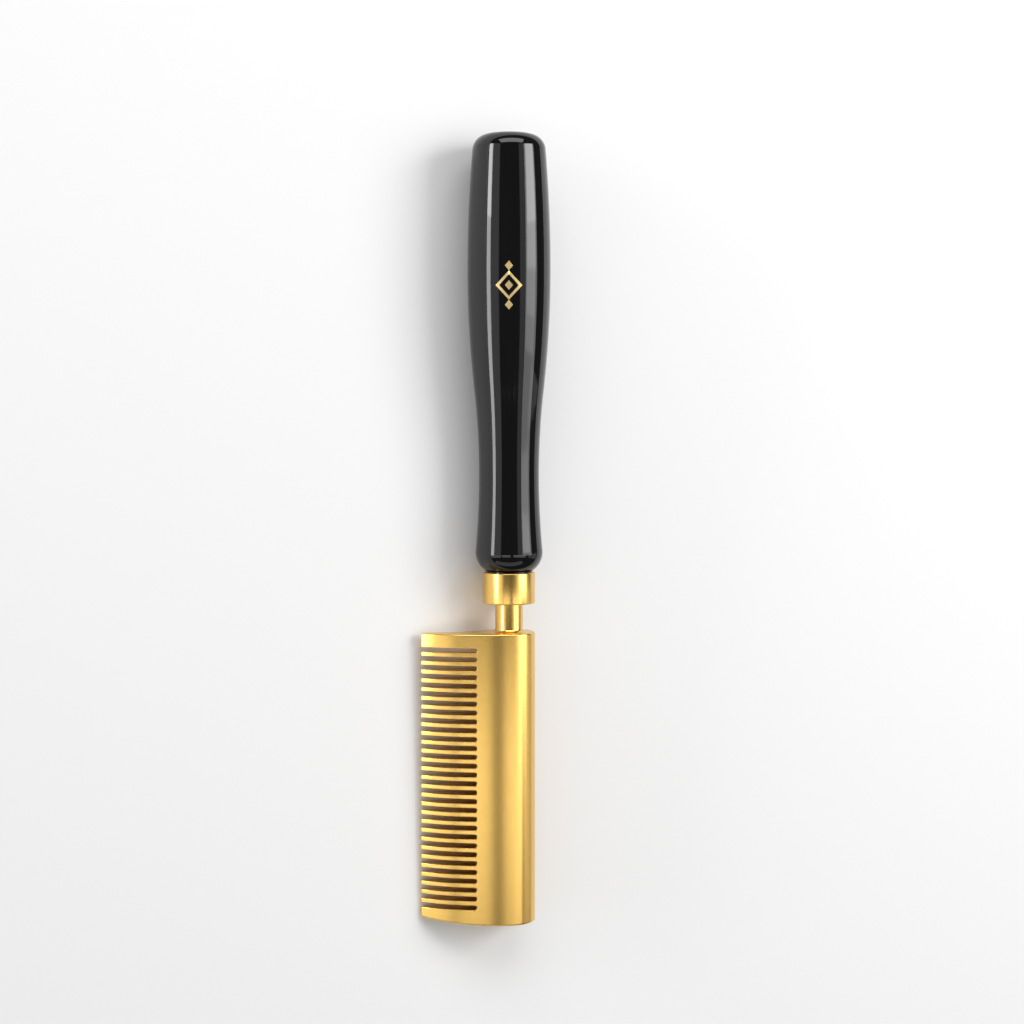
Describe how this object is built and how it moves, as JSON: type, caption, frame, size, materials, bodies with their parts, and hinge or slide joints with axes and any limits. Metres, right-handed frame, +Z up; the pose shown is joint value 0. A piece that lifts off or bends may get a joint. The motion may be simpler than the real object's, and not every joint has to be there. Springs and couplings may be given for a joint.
{
  "type": "stove-heated straightening comb",
  "caption": "Stove-heated straightening comb, lying face up: solid brass head with curved teeth and a round spine, brass neck and ferrule, waisted black lacquered wooden handle.",
  "frame": {"origin": "on the table top, under the middle of the comb's bounding box", "axes": "+Z up from the table; +Y from the head towards the butt of the handle; -X towards the tips of the teeth; the comb lies face up, on the handle's belly, the spine and the tips"},
  "size_m": [0.0318, 0.1968, 0.021],
  "materials": {
    "comb_brass": "satin, finely brushed from the tips to the spine, with softened bright edges",
    "fitting_brass": "satin, turned, with a faint ring grain",
    "tang_steel": "plain drawn steel rod, hidden inside",
    "black_lacquer": "turned hardwood under thick gloss black lacquer",
    "gold_foil": "hot-stamped gold foil, satin"
  },
  "bodies": {
    "root": {"comb_head": "comb_brass", "neck": "fitting_brass", "tang": "tang_steel", "ferrule": "fitting_brass", "handle": "black_lacquer", "foil_ornament": "gold_foil"}
  },
  "joints": []
}
